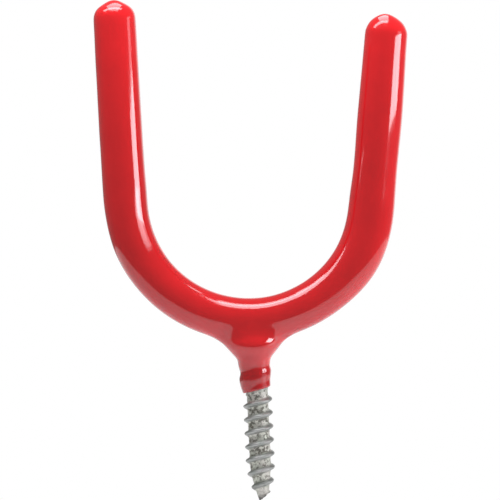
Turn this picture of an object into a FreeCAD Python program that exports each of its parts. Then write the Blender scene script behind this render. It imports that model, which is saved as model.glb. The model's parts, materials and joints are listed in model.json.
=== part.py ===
"""Screw-in utility hook: a steel rod bent into a U, a lag screw welded under it, and a dipped vinyl coat.

Millimetres. The screw's axis is Z, pointing up out of the wall or joist.
The U opens upwards in the XZ plane. The origin is on the screw's axis where the coat ends,
which is as deep as the screw is driven.
"""

import FreeCAD
import Part

import math
import os

from FreeCAD import Vector

# Steel rod of the U
rod_diameter = 7.0
bend_radius = 27.0  # of the rod's centreline
arm_flare_deg = 3.9  # each arm opens outwards by this much
left_arm_length = 42.4  # straight stretch, from the bend to the rod's end
right_arm_length = 40.1
rod_end_chamfer = 0.8
u_turn_deg = 3.2  # the U was welded on turned about its bend centre, to the right

# Lag screw
shank_diameter = 5.2
thread_diameter = 6.35
root_diameter = 4.55
thread_pitch = 2.95
thread_foot_width = 1.55
thread_crest_width = 0.3
thread_angle_deg = -106.0  # where round the axis the thread crosses the height of the coat's edge
bare_length = 23.8  # from the coat's edge to the tip
point_length = 7.6
tip_diameter = 2.2
tip_cut_deg = 38.0  # slope of the pinched-off tip
tip_cut_offset = 0.55  # from the axis to the left, where the cut is as deep as the tip
thread_under_coat = 5.4  # how far up inside the coat the thread runs

# Weld between rod and screw
weld_leg = 1.0

# Dipped vinyl coat
coat_thickness = 1.18
end_cover = 1.6  # vinyl over the end of an arm, at its middle
end_shoulder_radius = 3.0
end_slope_deg = 27.0  # the drip at an arm's end slopes by this much
end_nub_radius = 1.4
stem_length = 10.6  # from the coat's edge up to the underside of the U
stem_cover = 0.95  # vinyl over the screw's shank
web_offset = -0.43  # the web round the weld sits a little to the left of the screw
web_foot_height = 6.0  # the web comes out of the stem just above this
web_foot_half_width = 3.0
web_foot_half_depth = 2.95
web_spread_deg = 39.7  # from the axis to its sides, seen from the front
web_belly_height = 9.4
web_belly_half_depth = 4.4
web_round = 1.2  # in the corners where the web meets the U and the stem
thread_cover = 0.5  # vinyl over the crest of the covered thread
covered_ridge_width = 2.3
covered_crest_width = 0.75
edge_slant_deg = 12.6  # the coat's lower edge follows the thread and climbs to the right
edge_round = 0.5

# Worked out from the sizes above
rod_radius = rod_diameter / 2
coat_radius = rod_radius + coat_thickness
bend_height = stem_length + coat_radius + bend_radius
stem_radius = shank_diameter / 2 + stem_cover
UP = Vector(0, 0, 1)
ORIGIN = Vector(0, 0, 0)
POINTS_PER_TURN = 12
STEPS_PER_FACE = 6  # a ridge's faces are half a turn long
EMBED = 0.3  # how far a ridge's foot is sunk into what carries it
ON_WALL = 0.001  # how near to the stem's wall an edge of it lies
UPRIGHT = 0.99
THREAD_START_TURNS = 0.75  # a ridge rises to its full height over this many turns
RUNOUT_WIDTH = 0.4  # share of its foot's width that the thread keeps where it runs out
POINT_FADE = 2.5  # the higher, the longer the thread keeps its height along the point


def on_plane(x, z):
    """A point of the U's own plane, before the U is turned, measured from the bend centre."""
    return Vector(x, 0, z)


def place_u(shape):
    """Turn a shape that was drawn about the bend centre and lift it to its height."""
    shape.rotate(ORIGIN, Vector(0, 1, 0), u_turn_deg)
    shape.translate(Vector(0, 0, bend_height))
    return shape


def arm_start(side):
    """Where the bend ends and an arm starts; side is -1 for the left arm and 1 for the right."""
    flare = math.radians(arm_flare_deg)
    return on_plane(side * bend_radius * math.cos(flare), -bend_radius * math.sin(flare))


def arm_direction(side):
    flare = math.radians(arm_flare_deg)
    return on_plane(side * math.sin(flare), math.cos(flare))


def u_tube(radius, left_length, right_length):
    """A round bar along the U's centreline with flat ends."""
    left_start = arm_start(-1)
    right_start = arm_start(1)
    left_end = left_start + arm_direction(-1) * left_length
    right_end = right_start + arm_direction(1) * right_length
    bend = Part.Arc(left_start, on_plane(0, -bend_radius), right_start).toShape()
    path = Part.Wire([
        Part.LineSegment(left_end, left_start).toShape(),
        bend,
        Part.LineSegment(right_start, right_end).toShape(),
    ])
    section = Part.Wire(Part.makeCircle(radius, left_end, arm_direction(-1)))
    return path.makePipeShell([section], True, False)


def arm_cap(side, length):
    """The drip that closes the coat over an arm's end: a round shoulder, a cone and a small nub."""
    slope = math.radians(end_slope_deg)
    turn = math.pi / 2 - slope
    shoulder = coat_radius - end_shoulder_radius

    def on_shoulder(angle):
        across = shoulder + end_shoulder_radius * math.cos(angle)
        return Vector(across, 0, end_shoulder_radius * math.sin(angle))

    cone_foot = on_shoulder(turn)
    nub_centre = cone_foot.z + cone_foot.x * math.tan(slope) - end_nub_radius / math.cos(slope)

    def on_nub(angle):
        return Vector(end_nub_radius * math.sin(angle), 0, nub_centre + end_nub_radius * math.cos(angle))

    nub_foot = on_nub(slope)
    apex = on_nub(0)
    rim = Vector(coat_radius, 0, 0)
    outline = Part.Wire([
        Part.LineSegment(ORIGIN, rim).toShape(),
        Part.Arc(rim, on_shoulder(turn / 2), cone_foot).toShape(),
        Part.LineSegment(cone_foot, nub_foot).toShape(),
        Part.Arc(nub_foot, on_nub(slope / 2), apex).toShape(),
        Part.LineSegment(apex, ORIGIN).toShape(),
    ])
    cap = Part.Face(outline).revolve(ORIGIN, UP, 360)
    cap.rotate(ORIGIN, Vector(0, 1, 0), side * arm_flare_deg)
    straight = length + end_cover - apex.z
    cap.translate(arm_start(side) + arm_direction(side) * straight)
    return cap, straight


def curve_span(curve, start, end):
    span = curve.copy()
    span.segment(start, end)
    return span


def ruled_face(first, second):
    """The face of straight lines between two curves that have the same knots."""
    poles = [list(pair) for pair in zip(first.getPoles(), second.getPoles())]
    surface = Part.BSplineSurface()
    surface.buildFromPolesMultsKnots(
        poles, first.getMultiplicities(), [2, 2], first.getKnots(), [0, 1], False, False, first.Degree, 1)
    return surface.toShape()


def helical_ridge(top, turns, section):
    """A right-hand ridge that winds down from the height top.

    section gives the foot's radius and width and the crest's radius and width at a share of the way down.
    """
    steps = math.ceil(turns * POINTS_PER_TURN)
    shares = [step / steps for step in range(steps + 1)]
    rails = [[], [], [], []]
    for share in shares:
        drop = share * turns
        angle = math.radians(thread_angle_deg) + 2 * math.pi * (top / thread_pitch - drop)
        height = top - drop * thread_pitch
        foot_radius, foot_width, crest_radius, crest_width = section(share)
        corners = [
            (foot_radius, height - foot_width / 2),
            (crest_radius, height - crest_width / 2),
            (crest_radius, height + crest_width / 2),
            (foot_radius, height + foot_width / 2),
        ]
        for rail, (radius, level) in zip(rails, corners):
            rail.append(Vector(radius * math.cos(angle), radius * math.sin(angle), level))
    curves = []
    for rail in rails:
        curve = Part.BSplineCurve()
        curve.interpolate(Points=rail, Parameters=shares)
        curves.append(curve)
    faces = []
    for first in range(0, steps, STEPS_PER_FACE):
        last = min(first + STEPS_PER_FACE, steps)
        spans = [curve_span(curve, shares[first], shares[last]) for curve in curves]
        faces += [ruled_face(spans[i - 1], spans[i]) for i in range(len(spans))]
    for end in (0, -1):
        corners = [rail[end] for rail in rails]
        faces.append(Part.Face(Part.makePolygon(corners + corners[:1])))
    shell = Part.makeShell(faces)
    shell.sewShape()
    ridge = Part.makeSolid(shell)
    if ridge.Volume < 0:
        ridge.reverse()
    return ridge


def core_radius(height):
    """Radius of the screw under its thread."""
    into_point = max(0, -height - (bare_length - point_length)) / point_length
    return root_diameter / 2 + (tip_diameter - root_diameter) / 2 * into_point


def screw_thread():
    lowest = -bare_length + tip_diameter / 2
    turns = (thread_under_coat - lowest) / thread_pitch
    taper_top = -(bare_length - point_length)

    def section(share):
        height = thread_under_coat - share * turns * thread_pitch
        core = core_radius(height)
        start = min(1, share * turns / THREAD_START_TURNS)
        into_point = min(1, max(0, (taper_top - height) / (taper_top - lowest)))
        full = start * (1 - into_point ** POINT_FADE)
        low = core - EMBED / 2
        crest = low + (thread_diameter / 2 - low) * full
        foot_width = thread_foot_width * (RUNOUT_WIDTH + (1 - RUNOUT_WIDTH) * full)
        return core - EMBED, foot_width, crest, thread_crest_width

    return helical_ridge(thread_under_coat, turns, section)


def half_space_below(slope_deg, size):
    """A block under a plane through the origin that climbs to the right."""
    block = Part.makeBox(2 * size, 2 * size, size, Vector(-size, -size, -size))
    block.rotate(ORIGIN, Vector(0, 1, 0), -slope_deg)
    return block


def lag_screw(rod):
    """The screw: a plain shank coped to the rod, a coarse thread and a pinched-off point."""
    shank_top = bend_height - bend_radius
    step = (shank_diameter - root_diameter) / 2
    outline = Part.makePolygon([
        Vector(0, 0, shank_top),
        Vector(shank_diameter / 2, 0, shank_top),
        Vector(shank_diameter / 2, 0, thread_under_coat + step),
        Vector(root_diameter / 2, 0, thread_under_coat),
        Vector(root_diameter / 2, 0, point_length - bare_length),
        Vector(tip_diameter / 2, 0, -bare_length),
        Vector(0, 0, -bare_length),
        Vector(0, 0, shank_top),
    ])
    core = Part.Face(outline).revolve(ORIGIN, UP, 360)
    screw = core.fuse(screw_thread())
    pinch = half_space_below(tip_cut_deg, 2 * thread_diameter)
    pinch.translate(Vector(-tip_cut_offset, 0, -bare_length))
    return screw.cut(pinch).cut(rod).removeSplitter()


def saddle_height(x, y):
    """Height of the rod's underside over a point under the bend."""
    reach = bend_radius + math.sqrt(rod_radius ** 2 - y ** 2)
    return bend_height - math.sqrt(reach ** 2 - x ** 2)


def weld_collar(rod, screw):
    """The weld that runs round the corner between the screw's shank and the rod."""
    shank_radius = shank_diameter / 2
    low = saddle_height(0, 0) - weld_leg
    top = saddle_height(0, shank_radius) + weld_leg
    full = low + weld_leg
    collar = Part.makeCone(shank_radius, shank_radius + weld_leg, weld_leg, Vector(0, 0, low))
    collar = collar.fuse(Part.makeCylinder(shank_radius + weld_leg, top - full, Vector(0, 0, full)))
    near_rod = place_u(u_tube(rod_radius + weld_leg, left_arm_length, right_arm_length))
    return collar.removeSplitter().common(near_rod).cut(rod).cut(screw)


def covered_thread():
    """The low ridge that the thread's first turns raise in the coat."""
    turns = (thread_under_coat - edge_round) / thread_pitch

    def section(share):
        full = min(1, share * turns / THREAD_START_TURNS, (1 - share) * turns / THREAD_START_TURNS)
        low = stem_radius - EMBED / 2
        crest = low + (thread_diameter / 2 + thread_cover - low) * full
        return stem_radius - EMBED, covered_ridge_width, crest, covered_crest_width

    return helical_ridge(thread_under_coat, turns, section)


def edges_round_stem(shape, lowest, highest):
    """The edges that run round the stem's wall between two heights."""
    found = []
    for edge in shape.Edges:
        if edge.Degenerated:
            continue
        middle = (edge.FirstParameter + edge.LastParameter) / 2
        point = edge.valueAt(middle)
        on_wall = abs(math.hypot(point.x, point.y) - stem_radius) < ON_WALL
        upright = abs(edge.tangentAt(middle).z) > UPRIGHT
        if on_wall and not upright and lowest < point.z < highest:
            found.append(edge)
    return found


def web_section(height, half_width, half_depth):
    """A level oval of the web."""
    oval = Part.Ellipse(Vector(web_offset, 0, height), half_width, half_depth)
    return Part.Wire(oval.toShape())


def coat_web():
    """The bulge of vinyl round the weld: straight sides from the front and a full belly from the side."""
    spread = math.tan(math.radians(web_spread_deg))
    heights = [web_foot_height, web_belly_height, bend_height - bend_radius]
    half_depths = [web_foot_half_depth, web_belly_half_depth, web_belly_half_depth]
    sections = []
    for height, half_depth in zip(heights, half_depths):
        half_width = web_foot_half_width + (height - web_foot_height) * spread
        sections.append(web_section(height, half_width, half_depth))
    return Part.makeLoft(sections, True)


def web_corners(outside):
    """The edges along which the web meets the stem and the U."""
    web = next(face for face in outside.Faces if face.Surface.TypeId == "Part::GeomBSplineSurface")
    return [edge for edge in web.Edges if edge.isClosed()]


def coat_outside():
    """The coat as if it were solid: the U with its drips, the stem, and the web between them."""
    left_cap, left_straight = arm_cap(-1, left_arm_length)
    right_cap, right_straight = arm_cap(1, right_arm_length)
    tube = u_tube(coat_radius, left_straight, right_straight)
    tube = place_u(tube.fuse([left_cap, right_cap]).removeSplitter())
    stem_top = bend_height - bend_radius
    stem = Part.makeCylinder(stem_radius, stem_top + stem_length, Vector(0, 0, -stem_length))
    stem = stem.cut(half_space_below(edge_slant_deg, 2 * stem_length))
    outside = tube.fuse([stem, coat_web()]).removeSplitter()
    outside = outside.makeFillet(web_round, web_corners(outside))
    outside = outside.makeFillet(edge_round, edges_round_stem(outside, -web_foot_height, web_foot_height))
    return outside.fuse(covered_thread())


def vinyl_coat(rod, weld, screw):
    return coat_outside().cut(rod).cut(weld).cut(screw)


def u_rod():
    rod = u_tube(rod_radius, left_arm_length, right_arm_length)
    rims = [edge for face in rod.Faces if face.Surface.TypeId == "Part::GeomPlane" for edge in face.Edges]
    return place_u(rod.makeChamfer(rod_end_chamfer, rims))


def main():
    rod = u_rod()
    screw = lag_screw(rod)
    weld = weld_collar(rod, screw)
    pieces = {
        "u_rod": rod,
        "lag_screw": screw,
        "weld_collar": weld,
        "vinyl_coat": vinyl_coat(rod, weld, screw),
    }
    os.makedirs("parts", exist_ok=True)
    for name, shape in pieces.items():
        shape.Solids[0].exportStep(f"parts/{name}.step")


if __name__ == "__main__":
    main()
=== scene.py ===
"""The looks of a screw-in utility hook: its dipped vinyl coat, its zinc-plated lag screw and a white studio.

Metres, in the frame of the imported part: the screw's axis is Z, and the U opens upwards in the XZ plane.
"""

import json
import math
from contextlib import contextmanager

import bmesh
import bpy
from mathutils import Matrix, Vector, noise


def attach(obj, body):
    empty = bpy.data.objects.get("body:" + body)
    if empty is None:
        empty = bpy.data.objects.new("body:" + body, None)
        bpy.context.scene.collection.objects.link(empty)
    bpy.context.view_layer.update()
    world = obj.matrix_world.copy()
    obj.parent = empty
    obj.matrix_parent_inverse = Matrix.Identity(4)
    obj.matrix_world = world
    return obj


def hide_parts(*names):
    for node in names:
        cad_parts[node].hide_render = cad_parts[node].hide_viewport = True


bl_info = {
    "name": "Utility hook",
    "version": (1, 0, 0),
    "blender": (4, 5, 0),
    "location": "View3D > Sidebar > Hook",
    "description": "Models a vinyl-dipped utility hook with its lag screw, and a studio to show it in",
    "category": "Add Mesh",
}

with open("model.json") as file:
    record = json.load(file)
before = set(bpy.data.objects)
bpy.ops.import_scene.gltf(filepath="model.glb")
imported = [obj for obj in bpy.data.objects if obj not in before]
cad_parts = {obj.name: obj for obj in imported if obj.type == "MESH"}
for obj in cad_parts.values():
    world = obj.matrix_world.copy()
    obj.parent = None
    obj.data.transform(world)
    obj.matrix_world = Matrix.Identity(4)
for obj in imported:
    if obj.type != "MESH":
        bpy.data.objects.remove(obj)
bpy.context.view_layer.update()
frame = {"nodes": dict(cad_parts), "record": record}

MM = 0.001
MOUNTS = {mount["name"]: mount for mount in frame["record"]["mounts"]}
X_AXIS = Vector((1, 0, 0))
Y_AXIS = Vector((0, 1, 0))
Z_AXIS = Vector((0, 0, 1))
TINY = 0.01 * MM  # places nearer than this are at the same level
MERGE_DISTANCE = 0.002 * MM


class Arm:
    """One straight arm of the U, as the record's mount gives it."""

    def __init__(self, mount):
        self.direction = Vector(mount["axis"]).normalized()
        self.length = mount["dims"]["length_mm"] * MM
        self.radius = mount["dims"]["r_mm"] * MM
        self.start = Vector(mount["pos_m"]) - self.direction * self.length / 2
        self.end = self.start + self.direction * self.length

    def outward_turn(self):
        """How far the arm leans from upright, to the right if positive."""
        return math.atan2(self.direction.x, self.direction.z)


LEFT_ARM = Arm(MOUNTS["left_arm"])
RIGHT_ARM = Arm(MOUNTS["right_arm"])
BEND_RADIUS = abs(LEFT_ARM.start.x) / LEFT_ARM.direction.z
BEND_CENTRE = Vector((0, 0, LEFT_ARM.start.z - BEND_RADIUS * LEFT_ARM.direction.x))
SCREW_RADIUS = MOUNTS["lag_screw"]["dims"]["r_mm"] * MM
SCREW_LENGTH = MOUNTS["lag_screw"]["dims"]["length_mm"] * MM


def length(name, text, default):
    return bpy.props.FloatProperty(
        name=name, description=text, default=default, min=0, subtype="DISTANCE", unit="LENGTH", precision=5)


def angle(name, text, degrees):
    return bpy.props.FloatProperty(
        name=name, description=text, default=math.radians(degrees), subtype="ANGLE", unit="ROTATION")


def colour(name, text, default):
    return bpy.props.FloatVectorProperty(
        name=name, description=text, default=default, size=3, min=0, max=1, subtype="COLOR")


class HookCoatSettings(bpy.types.PropertyGroup):
    """Sizes and colours of the dipped vinyl coat."""

    wall: length("Wall", "Thickness of the vinyl", 1.15 * MM)
    stem_radius: length("Stem radius", "Radius of the coat over the screw, off the ridges", 3.17 * MM)
    neck_radius: length("Neck radius", "Radius of the coat at the foot of the web", 3.52 * MM)
    neck_height: length("Neck height", "Height of the stem's top over the coat's edge", 5.2 * MM)
    web_foot: length("Web foot", "Height at which the web starts to widen", 6.0 * MM)
    web_width: length("Web half width", "Half the web's width at its foot", 3.0 * MM)
    web_depth: length("Web half depth", "Half the web's depth at its foot", 3.73 * MM)
    web_spread: angle("Web spread", "Slope of the web's sides, seen from the front", 39.7)
    belly_height: length("Belly height", "Height of the web's belly", 9.4 * MM)
    belly_depth: length("Belly half depth", "Half the web's depth at its belly", 4.55 * MM)
    web_offset: length("Web offset", "How far the web sits to the left of the screw", 0.43 * MM)
    edge_offset: length("Edge offset", "The same for the coat's lower edge", 0.13 * MM)
    lump_height: length("Lump height", "How far the weld swells the web in front and behind", 0.75 * MM)
    left_shoulder: length("Left shoulder", "Rounding at the foot of the left arm's drip", 3.4 * MM)
    right_shoulder: length("Right shoulder", "Rounding at the foot of the right arm's drip", 4.4 * MM)
    drip_height: length("Drip height", "How far a drip's tip stands over the end of its arm", 4.26 * MM)
    drip_slope: angle("Drip slope", "Slope of the cone of vinyl on an arm's end", 30)
    nub_radius: length("Nub radius", "Rounding of the drip's very tip", 3.4 * MM)
    drip_lean: length("Drip lean", "How far the right arm's drip leans in", 0.4 * MM)
    sag: length("Sag", "Depth of a sag in the dipped wall", 0.5 * MM)
    unevenness: length("Unevenness", "How much the dipped wall varies", 0.10 * MM)
    ridge_height: length("Ridge height", "How far the covered thread shows through", 0.36 * MM)
    edge_slant: angle("Edge slant", "The lower edge climbs to the right along the thread", 12.6)
    red: colour("Red", "The vinyl's own colour", (0.72, 0.009, 0.013))


class HookScrewSettings(bpy.types.PropertyGroup):
    """Sizes and colours of the lag screw."""

    root_radius: length("Root radius", "Radius of the core between the thread's turns", 2.275 * MM)
    pitch: length("Pitch", "Rise of one turn of the thread", 2.95 * MM)
    first_crest: length("First crest", "Height at which a crest crosses the right side", 0.87 * MM)
    crest_width: length("Crest width", "Width of the thread's rounded crest", 0.36 * MM)
    foot_width: length("Foot width", "Width of the thread where it leaves the core", 1.45 * MM)
    point_length: length("Point length", "Length of the tapered point", 7.6 * MM)
    tip_radius: length("Tip radius", "Radius of the core at the tip", 1.05 * MM)
    tip_lean: length("Tip lean", "How far the tip was pushed to the right as it was pinched off", 0.4 * MM)
    tip_cut: angle("Tip cut", "Slope of the pinched-off tip", 38)
    # Painted light: the plating is painted paler in the roots, a painted highlight on the core, and darker
    # on the crests, painted shade
    zinc: colour("Zinc", "Colour of the plating in the roots", (0.70, 0.69, 0.63))
    crest: colour("Crest", "Colour of the plating on the thread's crests", (0.49, 0.50, 0.48))


class HookStageSettings(bpy.types.PropertyGroup):
    """Camera, floor and lights."""

    camera_distance: length("Camera distance", "From the camera to the hook", 0.9)
    picture_height: length("Picture height", "Height of the view at the hook", 108.75 * MM)
    camera_roll: angle("Camera roll", "How far the screw leans in the picture", 2.5)
    aim_x: bpy.props.FloatProperty(
        name="Aim across", description="Sideways place of the picture's middle",
        default=-0.24 * MM, unit="LENGTH")
    aim_z: length("Aim height", "Height of the picture's middle", 30.42 * MM)
    floor_drop: length("Floor drop", "How far the floor lies under the screw's tip", 20 * MM)
    white: colour("White", "Floor and background", (0.9, 0.9, 0.9))


def deselect_all():
    if bpy.context.object and bpy.context.object.mode != "OBJECT":
        bpy.ops.object.mode_set(mode="OBJECT")
    bpy.ops.object.select_all(action="DESELECT")


@contextmanager
def edit_mode(kind="VERT"):
    """Edit mode on the active piece, with one kind of element selectable."""
    bpy.ops.object.mode_set(mode="EDIT")
    bpy.ops.mesh.select_mode(type=kind)
    yield
    bpy.ops.object.mode_set(mode="OBJECT")


def choose(test, kind="verts"):
    """In edit mode, select only the elements whose middle passes the test."""
    bpy.ops.mesh.select_all(action="DESELECT")
    mesh = bpy.context.object.data
    shape = bmesh.from_edit_mesh(mesh)
    for element in getattr(shape, kind):
        middle = element.co if kind == "verts" else element.calc_center_median()
        if test(middle):
            element.select_set(True)
    shape.select_flush_mode()
    bmesh.update_edit_mesh(mesh)


def choose_open_edges(test):
    """In edit mode, select the boundary edges whose middle passes the test."""
    bpy.ops.mesh.select_all(action="DESELECT")
    mesh = bpy.context.object.data
    shape = bmesh.from_edit_mesh(mesh)
    for edge in shape.edges:
        middle = (edge.verts[0].co + edge.verts[1].co) / 2
        if len(edge.link_faces) < 2 and test(middle):
            edge.select_set(True)
    bmesh.update_edit_mesh(mesh)


def extrude_by(step):
    bpy.ops.mesh.extrude_region_move(TRANSFORM_OT_translate={"value": step})


def scale_about(centre, factor):
    bpy.ops.transform.resize(value=(factor, factor, factor), center_override=centre)


def finish_piece(name, node, material):
    """Name the active piece, give it its material and tie it to the frame."""
    piece = bpy.context.object
    piece.name = name
    piece.data.name = name
    piece.data.materials.clear()
    piece.data.materials.append(material)
    bpy.ops.object.shade_smooth()
    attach(piece, "root")
    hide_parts(node)


def apply_modifier(kind, **settings):
    piece = bpy.context.object
    modifier = piece.modifiers.new(kind.title(), kind)
    for name, value in settings.items():
        setattr(modifier, name, value)
    bpy.ops.object.modifier_apply(modifier=modifier.name)


def clean_normals():
    with edit_mode():
        bpy.ops.mesh.select_all(action="SELECT")
        bpy.ops.mesh.remove_doubles(threshold=MERGE_DISTANCE)
        bpy.ops.mesh.normals_make_consistent(inside=False)


class Shade:
    """A shader socket that takes part in Python expressions, each of which adds its Math nodes."""

    def __init__(self, tree, socket):
        self.tree = tree
        self.socket = socket

    def maths(self, operation, first, second):
        return add_node(self.tree, "Math", {"operation": operation}, {0: first, 1: second})

    def __add__(self, other):
        return self.maths("ADD", self, other)

    def __radd__(self, other):
        return self.maths("ADD", other, self)

    def __sub__(self, other):
        return self.maths("SUBTRACT", self, other)

    def __rsub__(self, other):
        return self.maths("SUBTRACT", other, self)

    def __mul__(self, other):
        return self.maths("MULTIPLY", self, other)

    def __rmul__(self, other):
        return self.maths("MULTIPLY", other, self)

    def __truediv__(self, other):
        return self.maths("DIVIDE", self, other)

    def __pow__(self, other):
        return self.maths("POWER", self, other)

    def at_least(self, low):
        return self.maths("MAXIMUM", self, low)

    def at_most(self, high):
        return self.maths("MINIMUM", self, high)


def add_node(tree, kind, settings=None, inputs=None, output=0):
    """Add one shader node: its settings first, then the values or links of its sockets."""
    node = tree.nodes.new("ShaderNode" + kind)
    for name, value in (settings or {}).items():
        if name == "stops":
            fill_ramp(node.color_ramp, value)
        else:
            setattr(node, name, value)
    for name, value in (inputs or {}).items():
        socket = node.inputs[name]
        if isinstance(value, Shade):
            tree.links.new(value.socket, socket)
        else:
            socket.default_value = value
    return Shade(tree, node.outputs[output])


def fill_ramp(band, stops):
    while len(band.elements) < len(stops):
        band.elements.new(1)
    for element, (place, value) in zip(band.elements, stops):
        element.position = place
        element.color = (value, value, value, 1)


def ramp(tree, value, *stops):
    return add_node(tree, "ValToRGB", {"stops": stops}, {"Fac": value})


# Sockets of a Mix node that mixes colours: it has others of the same names
MIX_FACTOR, MIX_FIRST, MIX_SECOND = 0, 6, 7
MIX_RESULT = 2


def mix_colour(tree, share, first, second):
    """Mix two colours; a plain colour is three numbers."""
    first, second = (value if isinstance(value, Shade) else (*value, 1) for value in (first, second))
    inputs = {MIX_FACTOR: share, MIX_FIRST: first, MIX_SECOND: second}
    return add_node(tree, "Mix", {"data_type": "RGBA"}, inputs, output=MIX_RESULT)


def new_material(name):
    """An empty material with a Principled shader; returns the material, its tree and the shader."""
    material = bpy.data.materials.new(name)
    material.use_nodes = True
    tree = material.node_tree
    return material, tree, tree.nodes["Principled BSDF"]


def connect(tree, value, socket):
    tree.links.new(value.socket, socket)


def object_place(tree):
    return add_node(tree, "TexCoord", output="Object")


def noise_of(tree, place, scale, detail=2.0, roughness=0.5):
    return add_node(
        tree, "TexNoise", {}, {"Vector": place, "Scale": scale, "Detail": detail, "Roughness": roughness})


def bump(tree, height, strength, distance):
    return add_node(
        tree, "Bump", {}, {"Height": height, "Strength": strength, "Distance": distance}, output="Normal")


SHADED_STEM_RED = (0.26, 0.004, 0.006)  # painted shade: the red that the stem's vinyl is darkened to near the coat's edge
DUST_RED = (0.30, 0.012, 0.014)
DEEP_SHARE = 0.82  # the darker mottles of the vinyl, as a share of its own colour
# Tinted plating for crests and roots: the crests' is painted darker as painted shade, the roots' paler as a
# painted highlight
SHADED_PASSIVE_CREST = (0.40, 0.43, 0.40)
HIGHLIT_PASSIVE_ROOT = (0.66, 0.69, 0.60)
# The crests are darkened towards the point
DARK_POINT_CREST = (0.16, 0.16, 0.15)
GRIME = (0.085, 0.08, 0.055)
PIT = (0.16, 0.15, 0.14)
SHEARED_TIP = (0.07, 0.07, 0.065)
DRAWN_STEEL = (0.40, 0.40, 0.41)
MILL_SCALE = (0.22, 0.21, 0.21)


def vinyl_material(settings):
    """Glossy dipped plastisol: faint mottling, a soft ripple in the wall, dust set into the skin, and
    painted shade low on the stem.
    """
    material, tree, shader = new_material("dipped_vinyl")
    place = object_place(tree)
    mottle = noise_of(tree, place, 180, detail=3)
    ripple = noise_of(tree, place, 420, detail=1)
    grain = noise_of(tree, place, 3200, detail=2)
    specks = add_node(
        tree, "TexVoronoi", {"feature": "F1"}, {"Vector": place, "Scale": 260}, output="Distance")
    dust = ramp(tree, specks, (0.0, 1), (0.03, 1), (0.06, 0), (1, 0))
    deep = [channel * DEEP_SHARE for channel in settings.red]
    height = add_node(tree, "SeparateXYZ", {}, {"Vector": place}, output="Z") / settings.web_foot
    # Painted shade: the vinyl is darkened from the web's foot down to the coat's lower edge
    stem_shade = ramp(tree, height, (0.55, 1), (1, 0))
    body = mix_colour(tree, stem_shade * 0.5, mix_colour(tree, mottle, deep, settings.red), SHADED_STEM_RED)
    connect(tree, mix_colour(tree, dust * 0.2, body, DUST_RED), shader.inputs["Base Color"])
    connect(tree, 0.09 + mottle * 0.05 + dust * 0.1, shader.inputs["Roughness"])
    relief = ripple * 0.6 + grain * 0.04 + dust * 0.3
    connect(tree, bump(tree, relief, 0.12, 0.2 * MM), shader.inputs["Normal"])
    shader.inputs["IOR"].default_value = 1.55
    shader.inputs["Coat Weight"].default_value = 0.6
    shader.inputs["Coat Roughness"].default_value = 0.06
    return material


def zinc_material(settings):
    """Zinc plate: crests painted darker as painted shade, roots painted paler as a painted highlight, grimy
    specks, pits, a faint tint, crests darker towards the point, and a dark sheared tip.
    """
    material, tree, shader = new_material("zinc_plate")
    place = object_place(tree)
    x, y, z = (add_node(tree, "SeparateXYZ", {}, {"Vector": place}, output=axis) for axis in "XYZ")
    depth = z / -SCREW_LENGTH
    point_start = SCREW_LENGTH - settings.point_length
    into = ((-1 * z - point_start) / settings.point_length).at_least(0)
    core = settings.root_radius - (settings.root_radius - settings.tip_radius) * into ** CORE_TAPER
    beside = x - settings.tip_lean * into ** 2
    radius = (beside * beside + y * y) ** 0.5
    out = (radius - core) / (SCREW_RADIUS - settings.root_radius)
    root = ramp(tree, out, (0.0, 1), (0.10, 1), (0.35, 0), (1, 0))
    cloud = noise_of(tree, place, 700, detail=4, roughness=0.65)
    fine = noise_of(tree, place, 5200, detail=3, roughness=0.6)
    specks = ramp(tree, noise_of(tree, place, 1500, detail=3, roughness=0.6), (0.45, 0), (0.55, 1))
    pits = ramp(tree, noise_of(tree, place, 3100, detail=2), (0.30, 1), (0.40, 0))
    tint = ramp(tree, noise_of(tree, place, 420, detail=1), (0.35, 0), (0.65, 1))
    # Painted light: the crests get the darker plating as painted shade, and the roots the paler as a painted
    # highlight
    shaded_crest_tone = mix_colour(tree, tint, settings.crest, SHADED_PASSIVE_CREST)
    # The crests darken towards the point
    crest = mix_colour(tree, ramp(tree, depth, (0.84, 0), (0.93, 0.75)), shaded_crest_tone, DARK_POINT_CREST)
    highlit_root_tone = mix_colour(tree, tint, settings.zinc, HIGHLIT_PASSIVE_ROOT)
    plate = mix_colour(tree, root, crest, highlit_root_tone)
    worn = ramp(tree, depth, (0.80, 1), (0.90, 0.35))
    grime = root * specks * ramp(tree, cloud, (0.34, 0), (0.48, 1)) * worn
    stained = mix_colour(tree, grime * 0.82, plate, GRIME)
    pitted = mix_colour(tree, pits * 0.45, stained, PIT)
    sheared = ramp(tree, depth, (0.955, 0), (0.985, 1))
    connect(tree, mix_colour(tree, sheared * 0.8, pitted, SHEARED_TIP), shader.inputs["Base Color"])
    connect(tree, 0.38 + cloud * 0.2 + grime * 0.2, shader.inputs["Roughness"])
    connect(tree, 0.95 - root * 0.3 - grime * 0.4, shader.inputs["Metallic"])
    relief = fine * 0.5 + cloud - pits * 0.7 - grime * 0.5
    connect(tree, bump(tree, relief, 0.3, 0.12 * MM), shader.inputs["Normal"])
    return material


def bare_steel_material():
    """Drawn steel with a fine scale, for the rod and the weld inside the coat."""
    material, tree, shader = new_material("bare_steel")
    place = object_place(tree)
    streaks = noise_of(tree, place, 1400, detail=4, roughness=0.6)
    scale = ramp(tree, noise_of(tree, place, 240, detail=3), (0.4, 0), (0.65, 1))
    connect(tree, mix_colour(tree, scale, DRAWN_STEEL, MILL_SCALE), shader.inputs["Base Color"])
    connect(tree, 0.35 + streaks * 0.25, shader.inputs["Roughness"])
    shader.inputs["Metallic"].default_value = 1
    return material


SEGMENTS = 24
BEND_STEPS = 36
ARM_STEP = 1.5 * MM
SHOULDER_RINGS = 4
WEB_CUTS = 1
NECK_WAIST = 0.972  # the neck's own ring is drawn in to this share of its radius
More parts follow.
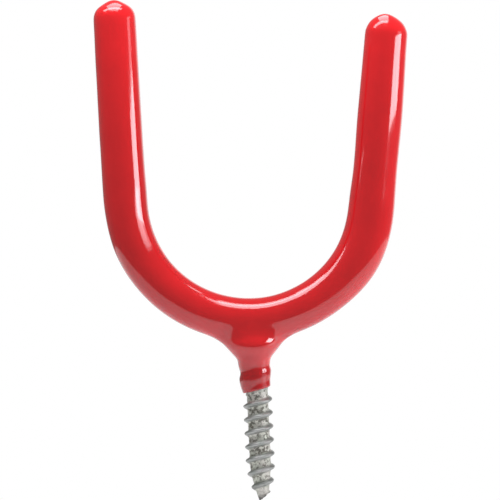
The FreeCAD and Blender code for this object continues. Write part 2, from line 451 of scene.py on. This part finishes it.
# The bend's oval patch that the web grows out of: its ends along the bend, and half its reach round it
WEB_LEFT = math.radians(-16.5)
WEB_RIGHT = math.radians(14.0)
WEB_HALF_ROUND = math.radians(72)
WEB_BLEND = 1.2  # the join of web and bend is smoothed as far as this share of the patch
WEB_SMOOTHING = {"factor": 0.5, "repeat": 3}
WEB_SWELL = 0.85  # power by which the web deepens towards its belly
WEB_HEIGHTS = [height * MM for height in (6.0, 6.8, 7.6, 8.5, 9.4, 10.3)]
NECK_FOOT = (0.87, 0.945)  # height and radius of the ring under the neck's, as shares of the neck's
# The rings below it, down to the coat's edge: shares of the neck's height and of the stem's radius
STEM_RINGS = (
    (0.74, 1),
    (0.60, 1),
    (0.47, 1),
    (0.34, 0.995),
    (0.22, 0.985),
    (0.12, 0.975),
    (0.042, 0.965),
    (0, 0.94),
    (-0.018, 0.82),
)
LIP_HEIGHT = 0.012  # share of the neck's height by which the edge turns in and up
LIP_RADIUS = 0.97  # share of the screw's core that it closes on


def cage_radius(radius, sides):
    """Radius of a ring of straight sides that subdivision draws in to the radius that is wanted."""
    return radius * 3 / (2 + math.cos(2 * math.pi / sides))


def drip_rings(radius, shoulder, settings):
    """Heights and radii of the rings that close an arm's end: a round shoulder, a cone and a nub."""
    slope = settings.drip_slope
    turn = math.pi / 2 - slope
    nub = settings.nub_radius
    nub_centre = settings.drip_height - nub
    cone_radius = radius - shoulder * (1 - math.cos(turn))
    cone_foot = nub_centre + nub / math.cos(slope) - cone_radius * math.tan(slope)
    shoulder_foot = cone_foot - shoulder * math.sin(turn)
    rings = []
    for step in range(1, SHOULDER_RINGS + 1):
        reach = turn * step / SHOULDER_RINGS
        rings.append((shoulder_foot + shoulder * math.sin(reach), radius - shoulder * (1 - math.cos(reach))))
    for reach in (slope, slope / 2):
        rings.append((nub_centre + nub * math.cos(reach), nub * math.sin(reach)))
    return rings


def close_drip(arm, radius, shoulder, lean, settings):
    """In edit mode, draw the selected ring at an arm's end together into a drip that leans to the left."""
    apex = settings.drip_height
    middle = Vector()
    for height, next_radius in [*drip_rings(radius, shoulder, settings), (apex, TINY)]:
        next_middle = arm.direction * height - X_AXIS * lean * (height / apex) ** 2
        extrude_by(next_middle - middle)
        scale_about(arm.end + next_middle, next_radius / radius)
        middle = next_middle
        radius = next_radius
    bpy.ops.mesh.merge(type="COLLAPSE")


def extrude_along(direction, whole):
    steps = round(whole / ARM_STEP)
    for _ in range(steps):
        extrude_by(direction * (whole / steps))


def model_u(settings):
    """A ring carried down the left arm, round the bend and up the right arm, with a drip at each end."""
    radius = cage_radius(LEFT_ARM.radius, SEGMENTS)
    deselect_all()
    bpy.ops.mesh.primitive_circle_add(
        vertices=SEGMENTS, radius=radius, location=LEFT_ARM.end, rotation=(0, LEFT_ARM.outward_turn(), 0))
    bpy.ops.object.transform_apply(location=True, rotation=True, scale=True)
    sweep = (LEFT_ARM.start - BEND_CENTRE).angle(RIGHT_ARM.start - BEND_CENTRE)
    with edit_mode():
        bpy.ops.mesh.select_all(action="SELECT")
        extrude_along(-LEFT_ARM.direction, LEFT_ARM.length)
        bpy.ops.mesh.spin(steps=BEND_STEPS, angle=sweep, center=BEND_CENTRE, axis=Y_AXIS)
        extrude_along(RIGHT_ARM.direction, RIGHT_ARM.length)
        close_drip(RIGHT_ARM, radius, settings.right_shoulder, settings.drip_lean, settings)
        choose(lambda place: abs((place - LEFT_ARM.end).dot(LEFT_ARM.direction)) < TINY and place.x < 0)
        close_drip(LEFT_ARM, radius, settings.left_shoulder, 0, settings)


def under_bend(place, reach=1):
    """Whether a place on the bend's skin is in the oval patch that the stem grows out of."""
    spoke = place - BEND_CENTRE
    along = math.atan2(spoke.x, -spoke.z)
    around = math.atan2(place.y, math.hypot(spoke.x, spoke.z) - BEND_RADIUS)
    off_middle = (along - (WEB_LEFT + WEB_RIGHT) / 2) / ((WEB_RIGHT - WEB_LEFT) / 2)
    return math.hypot(off_middle, around / WEB_HALF_ROUND) < reach


def web_oval(height, settings):
    """Middle, half width and half depth of the web's level section at a height."""
    rise = max(0, height - settings.web_foot)
    half_width = settings.web_width + rise * math.tan(settings.web_spread)
    swell = rise / (settings.belly_height - settings.web_foot)
    half_depth = settings.web_depth + (settings.belly_depth - settings.web_depth) * swell ** WEB_SWELL
    lean = settings.web_offset
    left = max(settings.neck_radius + lean, half_width + lean)
    right = max(settings.neck_radius - lean, half_width - lean)
    return (right - left) / 2, (right + left) / 2, half_depth


def context_screw():
    return bpy.context.scene.hook_screw


def stem_rings(settings):
    """Heights and radii of the stem's rings, from its neck down to the edge that turns in on the screw."""
    neck = settings.neck_height
    screw = context_screw().root_radius
    foot_height, foot_radius = NECK_FOOT
    rings = [(foot_height * neck, foot_radius * settings.neck_radius)]
    rings += [(height * neck, radius * settings.stem_radius) for height, radius in STEM_RINGS]
    edge_radius = rings[-1][1]
    rings.append((-LIP_HEIGHT * neck, (edge_radius + screw) / 2))
    rings.append((LIP_HEIGHT * neck, LIP_RADIUS * screw))
    return rings


def stem_lean(height, settings):
    """How far the middle of the stem lies beside the screw's axis, negative to the left."""
    share = min(1, max(0, height / settings.neck_height))
    return -settings.edge_offset - (settings.web_offset - settings.edge_offset) * share


def open_underside():
    """Cut the patch for the web out of the bend; returns the number of edges round the hole."""
    with edit_mode("FACE"):
        choose(under_bend, "faces")
        bpy.ops.mesh.delete(type="FACE")
    with edit_mode("EDGE"):
        choose_open_edges(lambda place: place.z < BEND_CENTRE.z)
        shape = bmesh.from_edit_mesh(bpy.context.object.data)
        return sum(edge.select for edge in shape.edges)


def neck_cage(sides, settings):
    return cage_radius(settings.neck_radius * NECK_WAIST, sides)


def grow_stem(sides, settings):
    """In edit mode, add the neck's ring and carry it down to the edge of the coat."""
    height = settings.neck_height
    middle = stem_lean(height, settings)
    radius = neck_cage(sides, settings)
    bpy.ops.mesh.primitive_circle_add(vertices=sides, radius=radius, location=(middle, 0, height))
    for next_height, wanted in stem_rings(settings):
        next_radius = cage_radius(wanted, sides)
        next_middle = stem_lean(next_height, settings)
        extrude_by((next_middle - middle, 0, next_height - height))
        scale_about((next_middle, 0, next_height), next_radius / radius)
        height, middle, radius = next_height, next_middle, next_radius


def grow_web(sides, settings):
    """In edit mode, carry the neck's ring up through the web and bridge it to the hole in the bend."""
    height = settings.neck_height
    middle = stem_lean(height, settings)
    half_width = half_depth = neck_cage(sides, settings)
    choose_open_edges(lambda place: abs(place.z - settings.neck_height) < TINY)
    for next_height in WEB_HEIGHTS:
        next_middle, wide, deep = web_oval(next_height, settings)
        wide, deep = cage_radius(wide, sides), cage_radius(deep, sides)
        extrude_by((next_middle - middle, 0, next_height - height))
        bpy.ops.transform.resize(
            value=(wide / half_width, deep / half_depth, 1), center_override=(next_middle, 0, next_height))
        height, middle, half_width, half_depth = next_height, next_middle, wide, deep
    choose_open_edges(lambda place: WEB_HEIGHTS[-1] - TINY < place.z < BEND_CENTRE.z)
    bpy.ops.mesh.bridge_edge_loops(type="SINGLE", number_cuts=WEB_CUTS, interpolation="LINEAR")


def model_stem(settings):
    """Open the bend's underside, and grow the stem and the web that joins it to the bend."""
    sides = open_underside()
    with edit_mode("EDGE"):
        bpy.ops.mesh.select_all(action="DESELECT")
        grow_stem(sides, settings)
        grow_web(sides, settings)
    with edit_mode():
        choose(lambda place: place.z > WEB_HEIGHTS[-1] + TINY and under_bend(place, WEB_BLEND))
        bpy.ops.mesh.vertices_smooth(**WEB_SMOOTHING)


def smooth_step(low, high, value):
    share = min(1, max(0, (value - low) / (high - low)))
    return share * share * (3 - 2 * share)


# Bits caught in the vinyl: place across, place up, depth and size, in millimetres
PIMPLES = (
    (-28.6, 51.2, -4.6, 0.04),
    (29.3, 71.6, -4.6, 0.05),
    (24.2, 60.8, -4.5, 0.03),
    (-15.0, 22.0, -3.9, 0.03),
)
PIMPLE_SPREAD = 0.3 * MM
LUMP = Vector((-0.08, 0, 9.5)) * MM
LUMP_SMILE = 50  # per metre: the lump's sides curve up by this times the square of their distance
LUMP_HALF_WIDTH = 4.1 * MM
LUMP_HALF_HEIGHT = 1.5 * MM
LUMP_FLATNESS = 3  # the higher, the flatter the lump's front is across
LUMP_FLARE = 0.22  # the lump is this share wider at its foot, and as much narrower at its top
# Where the vinyl is thicker, or thinner if negative: the middle, the spread and the share of the sag
SAGS = (
    (Vector((22.3, 0, 39.0)) * MM, 7 * MM, 1.0),
    (Vector((-21.5, 0, 42.0)) * MM, 8 * MM, 0.6),
    (Vector((28.0, 0, 24.0)) * MM, 9 * MM, 1.3),
    (Vector((33.0, 0, 58.0)) * MM, 11 * MM, 0.5),
    (Vector((-33.0, 0, 37.0)) * MM, 6 * MM, -0.5),
)
# The uneven wall's waves: their length, and their share of the unevenness
WAVES = ((14 * MM, 0.7), (5 * MM, 0.15))
# Up an arm the wall thickens and then thins, by these shares of the unevenness
ARM_FILL = 0.5
ARM_THINNING = 1.2
ARM_FILL_REACH = 0.5  # share of the arm over which it thickens


def skin_offset(place, settings):
    """How far the dipped skin stands out from its even form at a place."""
    uneven = settings.unevenness
    offset = uneven * sum(share * noise.noise(place / wave) for wave, share in WAVES)
    run = max(0, place.z - BEND_CENTRE.z) / LEFT_ARM.length
    offset += uneven * (ARM_FILL * smooth_step(0, ARM_FILL_REACH, run) - ARM_THINNING * run * run)
    for x, z, y, size in PIMPLES:
        away = (place - Vector((x, y, z)) * MM).length
        offset += size * MM * math.exp(-(away / PIMPLE_SPREAD) ** 2)
    for middle, spread, share in SAGS:
        offset += settings.sag * share * math.exp(-((place - middle).length / spread) ** 2)
    up = (place.z - LUMP.z - LUMP_SMILE * (place.x - LUMP.x) ** 2) / LUMP_HALF_HEIGHT
    across = (place.x - LUMP.x) / (LUMP_HALF_WIDTH * (1 - LUMP_FLARE * min(1, max(-1, up))))
    return offset + settings.lump_height * math.exp(-abs(across) ** LUMP_FLATNESS - up ** 2)


RIDGE_LIFT = 0.25 * MM  # the vinyl's ridge sits this much above the thread that raises it
RIDGE_RISE = (0.1, 0.45)  # turns of the covered thread over which its ridge comes up
RIDGE_FADE = (1.0, 1.4)  # and over which it dies away
RIDGE_TOP = 0.42  # share of the pitch over which a ridge falls off above its crest
RIDGE_FOOT = 0.05  # share of the pitch above a crest at which the next ridge's long foot starts


def ridge_strength(turns):
    """How much of the covered thread shows at a place along its helix: none at the edge nor at the neck."""
    return smooth_step(*RIDGE_RISE, turns) * (1 - smooth_step(*RIDGE_FADE, turns))


def thread_ridge(place, settings):
    """How far the thread under the coat lifts the stem's skin at a place: steep above, drawn out below."""
    screw = context_screw()
    turn = math.atan2(place.y, place.x - stem_lean(place.z, settings)) / (2 * math.pi)
    climb = (place.z - screw.first_crest - RIDGE_LIFT) / screw.pitch - turn
    crest = math.floor(climb)
    over = climb - crest
    from_below = ridge_strength(turn + crest) * (1 - smooth_step(0, RIDGE_TOP, over))
    from_above = ridge_strength(turn + crest + 1) * smooth_step(RIDGE_FOOT, 1, over)
    return settings.ridge_height * max(from_below, from_above)


SLANT_FADE = (0.15, 0.75)  # shares of the neck's height between which the edge's slant dies away


def shape_skin(settings):
    """Give the smooth coat its uneven wall, the covered thread and the slanted edge."""
    mesh = bpy.context.object.data
    slope = math.tan(settings.edge_slant)
    moved = []
    for vertex in mesh.vertices:
        place = vertex.co.copy()
        offset = skin_offset(place, settings)
        if place.z < settings.web_foot:
            offset += thread_ridge(place, settings)
        place += vertex.normal * offset
        place.z += place.x * slope * (1 - smooth_step(*SLANT_FADE, place.z / settings.neck_height))
        moved.append(place)
    for vertex, place in zip(mesh.vertices, moved):
        vertex.co = place


class HOOK_OT_vinyl_coat(bpy.types.Operator):
    """Model the dipped vinyl coat as one skin over the U, the web and the stem"""

    bl_idname = "hook.vinyl_coat"
    bl_label = "Vinyl coat"

    def execute(self, context):
        settings = context.scene.hook_coat
        model_u(settings)
        model_stem(settings)
        clean_normals()
        apply_modifier("SUBSURF", levels=2, render_levels=2)
        shape_skin(settings)
        apply_modifier("SOLIDIFY", thickness=settings.wall, offset=-1)
        finish_piece("coat_skin", "vinyl_coat", vinyl_material(settings))
        return {"FINISHED"}


THREAD_STEPS = 64
THREAD_TOP = 5.0 * MM  # height inside the coat at which the thread is cut off
SPARE_TURNS = 2  # turns that are wound beyond the screw's length, and cut off
TURNS_ABOVE = 3  # turns that are wound above the first crest
SHARP_ANGLE = math.radians(50)
# A thread's flank from foot to crest: share of the depth, and shares of the half widths of foot and crest
THREAD_FLANK = (
    (0.03, 1.08, 0),
    (0.20, 0.86, 0),
    (0.55, 0.5, 0.5),
    (0.90, 0, 1.25),
    (0.98, 0, 0.7),
)
SHANK_RADIUS = 2.6 * MM
SHANK_SIDES = 48
SHANK_BEVEL = 0.3 * MM
SHANK_OVERLAP = 0.3 * MM  # how far the shank reaches into the thread
SHANK_TOP = 0.6  # share of the coated rod's radius at which the shank ends under the rod's middle
GRIP = 0.8  # share of the thread that the coat's edge hides
GRIP_REACH = 1.0 * MM
CORE_TAPER = 1.3  # power by which the point's taper sets in
THREAD_END = 0.95  # share of the point at which the thread has run out
THREAD_FADE = 5  # the higher, the longer the thread keeps its height along the point


def thread_profile(settings):
    """Radius and height of the points of one pitch, from the middle of a root to the next."""
    half_crest = settings.crest_width / 2
    half_foot = settings.foot_width / 2
    depth = SCREW_RADIUS - settings.root_radius
    root = settings.root_radius
    side = [(root, -settings.pitch / 2), (root, -(settings.pitch / 2 + half_foot) / 2)]
    for rise, foot, crest in THREAD_FLANK:
        side.append((root + rise * depth, -(foot * half_foot + crest * half_crest)))
    return [*side, (SCREW_RADIUS, 0), *((radius, -height) for radius, height in reversed(side))]


def point_share(height, settings):
    """How far down the point a height is: 0 where the taper starts, 1 at the tip."""
    return max(0, (-height - (SCREW_LENGTH - settings.point_length)) / settings.point_length)


def point_radius(radius, into, settings):
    """Radius that a place of the even thread is drawn in to by the taper of the point."""
    core = settings.root_radius + (settings.tip_radius - settings.root_radius) * into ** CORE_TAPER
    kept = max(0, 1 - (into / THREAD_END) ** THREAD_FADE)
    return core + (radius - settings.root_radius) * kept


class HOOK_OT_lag_screw(bpy.types.Operator):
    """Model the lag screw: one pitch of the thread wound along it, its point and its shank"""

    bl_idname = "hook.lag_screw"
    bl_label = "Lag screw"

    def execute(self, context):
        settings = context.scene.hook_screw
        self.wind_thread(settings)
        self.shape_point(settings)
        self.trim_ends(settings)
        self.add_shank()
        clean_normals()
        finish_piece("screw_body", "lag_screw", zinc_material(settings))
        bpy.ops.object.shade_smooth_by_angle(angle=SHARP_ANGLE)
        return {"FINISHED"}

    def wind_thread(self, settings):
        """Draw one pitch of the thread point by point, and wind it along the screw."""
        turns = math.ceil((THREAD_TOP + SCREW_LENGTH) / settings.pitch) + SPARE_TURNS
        lowest = settings.first_crest - settings.pitch * (turns - TURNS_ABOVE)
        profile = thread_profile(settings)
        deselect_all()
        bpy.ops.mesh.primitive_plane_add(size=MM, location=(profile[0][0], 0, lowest + profile[0][1]))
        bpy.ops.object.transform_apply(location=True, rotation=True, scale=True)
        with edit_mode():
            bpy.ops.mesh.select_all(action="SELECT")
            bpy.ops.mesh.merge(type="CENTER")
            for (radius, height), (next_radius, next_height) in zip(profile, profile[1:]):
                extrude_by((next_radius - radius, 0, next_height - height))
        apply_modifier(
            "SCREW", axis="Z", angle=2 * math.pi, screw_offset=settings.pitch, iterations=turns,
            steps=THREAD_STEPS, render_steps=THREAD_STEPS, use_merge_vertices=True,
            merge_threshold=MERGE_DISTANCE)
        clean_normals()

    def shape_point(self, settings):
        """Draw the lower end of the thread in to its tapered point."""
        for vertex in bpy.context.object.data.vertices:
            radius = math.hypot(vertex.co.x, vertex.co.y)
            into = point_share(vertex.co.z, settings)
            factor = point_radius(radius, into, settings) / radius
            factor *= 1 - self.squeezed(vertex.co, radius, settings) / radius
            vertex.co.x = vertex.co.x * factor + settings.tip_lean * into ** 2
            vertex.co.y *= factor

    def squeezed(self, place, radius, settings):
        """How far the thread is drawn in where the coat's slanted edge grips it."""
        over_edge = place.z - place.x * math.tan(bpy.context.scene.hook_coat.edge_slant)
        return (radius - settings.root_radius) * GRIP * smooth_step(-GRIP_REACH, 0, over_edge)

    def trim_ends(self, settings):
        """Cut the top square inside the coat, and pinch the tip off on a slope."""
        slope = settings.tip_cut
        tip = Vector((settings.tip_lean - settings.tip_radius / 2, 0, -SCREW_LENGTH))
        with edit_mode():
            bpy.ops.mesh.select_all(action="SELECT")
            bpy.ops.mesh.bisect(
                plane_co=(0, 0, THREAD_TOP), plane_no=Z_AXIS, use_fill=True, clear_outer=True)
            bpy.ops.mesh.select_all(action="SELECT")
            bpy.ops.mesh.bisect(
                plane_co=tip, plane_no=(math.sin(slope), 0, -math.cos(slope)),
                use_fill=True, clear_outer=True)

    def add_shank(self):
        """The plain shank between the thread and the rod, hidden in the stem."""
        top = BEND_CENTRE.z - BEND_RADIUS - LEFT_ARM.radius * SHANK_TOP
        low = THREAD_TOP - SHANK_OVERLAP
        with edit_mode():
            bpy.ops.mesh.select_all(action="DESELECT")
            bpy.ops.mesh.primitive_cylinder_add(
                vertices=SHANK_SIDES, radius=SHANK_RADIUS, depth=top - low,
                location=(0, 0, (top + low) / 2))
            bpy.ops.mesh.bevel(offset=SHANK_BEVEL, segments=3, affect="EDGES")


class HOOK_OT_inner_steel(bpy.types.Operator):
    """Give the rod and the weld inside the coat their bare steel"""

    bl_idname = "hook.inner_steel"
    bl_label = "Inner steel"

    def execute(self, context):
        steel = bare_steel_material()
        for name in ("u_rod", "weld_collar"):
            node = frame["nodes"][name]
            node.data.materials.clear()
            node.data.materials.append(steel)
        return {"FINISHED"}


FLOOR_RADIUS = 0.28
FLOOR_SIDES = 96
FLOOR_FRONT = 0.115  # how far the floor reaches in front of the hook
FLOOR_FADE = (0.2, 0.7)  # shares of its radius between which it turns into the background
DAYLIGHT = (0.96, 0.94, 1.0)
AMBIENT = 0.237  # strength of the dim room, where the backdrop's is 1
BACKDROP_TURN = math.radians(12)  # the backdrop's middle lies this far to the right
BACKDROP = Vector((math.sin(BACKDROP_TURN), math.cos(BACKDROP_TURN), 0))
BACKDROP_EDGE = (0.80, 0.90)  # cosines of the angles between which it ends
SIDE_ROLL = math.radians(5)  # the side softbox hangs a little crooked
KICKER_ROLL = math.radians(33)  # and the strip beside the weld lies askew
# Place, direction it faces, width and height, power, and roll if it has one, of each lamp
SOFTBOXES = {
    "right_softbox": ((0.19, -0.07, 0.06), (-1, 0, 0), (0.125, 0.036), 0.11, SIDE_ROLL),
    "overhead_softbox": ((-0.057, -0.03175, 0.24), (0, 0, -1), (0.24, 0.0565), 0.2416),
}
# The same for cards that only show as reflections, each placed for one part of the hook
CARDS = {
    "bend_strip": ((0.003, -0.018, 0.0435), (-0.45, 0, 0.89), (0.016, 0.015), 0.0034),
    "bend_card": ((-0.0095, -0.0205, 0.06), (0, -0.45, -0.89), (0.031, 0.024), 0.0132),
    "upper_card": ((0.17, -0.035, 0.095), (-1, 0, 0), (0.06, 0.044), 0.0147),
    "weld_kicker": ((0.012, -0.011, 0.0118), (-0.80, 0.05, -0.60), (0.002, 0.008), 0.00055, KICKER_ROLL),
    "screw_card": ((0.05, -0.018, -0.012), (-0.75, 0, -0.66), (0.036, 0.03), 0.0026),
    "left_drip_card": ((-0.0285, -0.0042, 0.0965), (-0.35, 0, -0.94), (0.018, 0.013), 0.0024),
    "right_drip_card": ((0.0303, 0.0015, 0.0912), (0, 0, -1), (0.009, 0.013), 0.0013),
}
# The same for fills that don't show as reflections
MATT_FILLS = {
    "side_fill": ((0.32, 0, 0.12), (-1, 0, -0.25), (0.15, 0.15), 0.66),
    "front_fill": ((-0.057, -0.10425, 0.24), (0, 0, -1), (0.24, 0.0885), 0.3784),
    "top_fill": ((0, -0.04, 0.3), (0, 0, -1), (0.2, 0.2), 0.22),
}
SPOT_PLACE = Vector((0.06, -0.5, 0.3))
SPOT_AIM = Vector((0, 0, 0.155))
SPOT_POWER = 4.7
SPOT_CONE = math.radians(21)
SPOT_BLEND = 0.5
SPOT_RADIUS = 0.02


def fade(tree, value, limits):
    """0 up to the first limit, 1 from the second."""
    low, high = limits
    return ramp(tree, value, (low, 0), (high, 1))


def floor_material(settings):
    """Pale matt floor that keeps the shadow and turns into the white background at its rim."""
    material, tree, shader = new_material("pale_floor")
    shader.inputs["Base Color"].default_value = (*settings.white, 1)
    shader.inputs["Roughness"].default_value = 0.9
    place = object_place(tree)
    level = add_node(tree, "VectorMath", {"operation": "MULTIPLY"}, {0: place, 1: (1, 1, 0)})
    away = add_node(tree, "VectorMath", {"operation": "LENGTH"}, {0: level}, output="Value") / FLOOR_RADIUS
    rim = fade(tree, away, FLOOR_FADE)
    glow = add_node(tree, "Emission", {}, {"Color": (1, 1, 1, 1), "Strength": 1.0})
    mixed = add_node(tree, "MixShader", {}, {0: rim, 1: Shade(tree, shader.outputs[0]), 2: glow})
    connect(tree, mixed, tree.nodes["Material Output"].inputs["Surface"])
    return material


def white_world():
    """White for the camera; reflections see the white backdrop behind the hook and a dim room round it."""
    world = bpy.data.worlds.new("white_studio")
    world.use_nodes = True
    tree = world.node_tree
    background = tree.nodes["Background"]
    background.inputs["Color"].default_value = (1, 1, 1, 1)
    direction = add_node(tree, "TexCoord", output="Generated")
    behind = add_node(
        tree, "VectorMath", {"operation": "DOT_PRODUCT"}, {0: direction, 1: BACKDROP}, output="Value")
    camera, through, glossy = (
        add_node(tree, "LightPath", output=f"Is {ray} Ray") for ray in ("Camera", "Transmission", "Glossy"))
    seen = (camera + through + glossy * fade(tree, behind, BACKDROP_EDGE)).at_most(1)
    connect(tree, AMBIENT + seen * (1 - AMBIENT), background.inputs["Strength"])
    bpy.context.scene.world = world


def add_softbox(name, place, facing, size, power, roll=0):
    """A rectangular lamp that faces one way, rolled about that way."""
    light = bpy.data.lights.new(name, "AREA")
    light.shape = "RECTANGLE"
    light.size, light.size_y = size
    light.energy = power
    light.color = DAYLIGHT
    lamp = bpy.data.objects.new(name, light)
    lamp.location = place
    lamp.rotation_euler = Vector(facing).to_track_quat("-Z", "Y").to_euler()
    lamp.rotation_euler.rotate_axis("Z", roll)
    bpy.context.scene.collection.objects.link(lamp)
    return lamp


def add_top_spot():
    """A spotlight from the camera's side that picks out the upper ends of the arms."""
    light = bpy.data.lights.new("top_spot", "SPOT")
    light.energy = SPOT_POWER
    light.spot_size = SPOT_CONE
    light.spot_blend = SPOT_BLEND
    light.shadow_soft_size = SPOT_RADIUS
    lamp = bpy.data.objects.new("top_spot", light)
    lamp.location = SPOT_PLACE
    lamp.rotation_euler = (SPOT_AIM - SPOT_PLACE).to_track_quat("-Z", "Y").to_euler()
    lamp.visible_glossy = False
    bpy.context.scene.collection.objects.link(lamp)


def add_camera(settings):
    camera = bpy.data.cameras.new("photo_camera")
    camera.sensor_width = 36
    camera.lens = camera.sensor_width * settings.camera_distance / settings.picture_height
    camera.clip_start = 0.01
    view = bpy.data.objects.new("photo_camera", camera)
    view.location = (settings.aim_x, -settings.camera_distance, settings.aim_z)
    view.rotation_euler = (math.pi / 2, settings.camera_roll, 0)
    bpy.context.scene.collection.objects.link(view)
    bpy.context.scene.camera = view


class HOOK_OT_stage(bpy.types.Operator):
    """Set up the floor, the white world, the lamps and the camera"""

    bl_idname = "hook.stage"
    bl_label = "Studio"

    def execute(self, context):
        settings = context.scene.hook_stage
        deselect_all()
        floor_height = -SCREW_LENGTH - settings.floor_drop
        bpy.ops.mesh.primitive_circle_add(
            vertices=FLOOR_SIDES, radius=FLOOR_RADIUS, fill_type="NGON",
            location=(0, FLOOR_RADIUS - FLOOR_FRONT, floor_height))
        bpy.ops.object.transform_apply(location=True, rotation=False, scale=False)
        floor = context.object
        floor.name = "studio_floor"
        floor.data.materials.append(floor_material(settings))
        white_world()
        for name, lamp in SOFTBOXES.items():
            add_softbox(name, *lamp)
        for name, lamp in CARDS.items():
            add_softbox(name, *lamp).visible_diffuse = False
        for name, lamp in MATT_FILLS.items():
            add_softbox(name, *lamp).visible_glossy = False
        add_top_spot()
        add_camera(settings)
        context.scene.view_settings.view_transform = "Standard"
        return {"FINISHED"}


class HOOK_PT_sidebar(bpy.types.Panel):
    """The hook's pieces and sizes in the 3D view's sidebar"""

    bl_label = "Utility hook"
    bl_idname = "HOOK_PT_sidebar"
    bl_space_type = "VIEW_3D"
    bl_region_type = "UI"
    bl_category = "Hook"

    def draw(self, context):
        for operator in OPERATORS:
            self.layout.operator(operator.bl_idname)
        for group in (context.scene.hook_coat, context.scene.hook_screw, context.scene.hook_stage):
            box = self.layout.box()
            for name in group.__annotations__:
                box.prop(group, name)


SETTINGS = {"hook_coat": HookCoatSettings, "hook_screw": HookScrewSettings, "hook_stage": HookStageSettings}
OPERATORS = (HOOK_OT_vinyl_coat, HOOK_OT_lag_screw, HOOK_OT_inner_steel, HOOK_OT_stage)
CLASSES = (*SETTINGS.values(), *OPERATORS, HOOK_PT_sidebar)


def register():
    for item in CLASSES:
        bpy.utils.register_class(item)
    for name, group in SETTINGS.items():
        setattr(bpy.types.Scene, name, bpy.props.PointerProperty(type=group))


def unregister():
    for name in SETTINGS:
        delattr(bpy.types.Scene, name)
    for item in reversed(CLASSES):
        bpy.utils.unregister_class(item)


def main():
    register()
    bpy.ops.hook.vinyl_coat()
    bpy.ops.hook.lag_screw()
    bpy.ops.hook.inner_steel()
    bpy.ops.hook.stage()


if __name__ == "__main__":
    main()
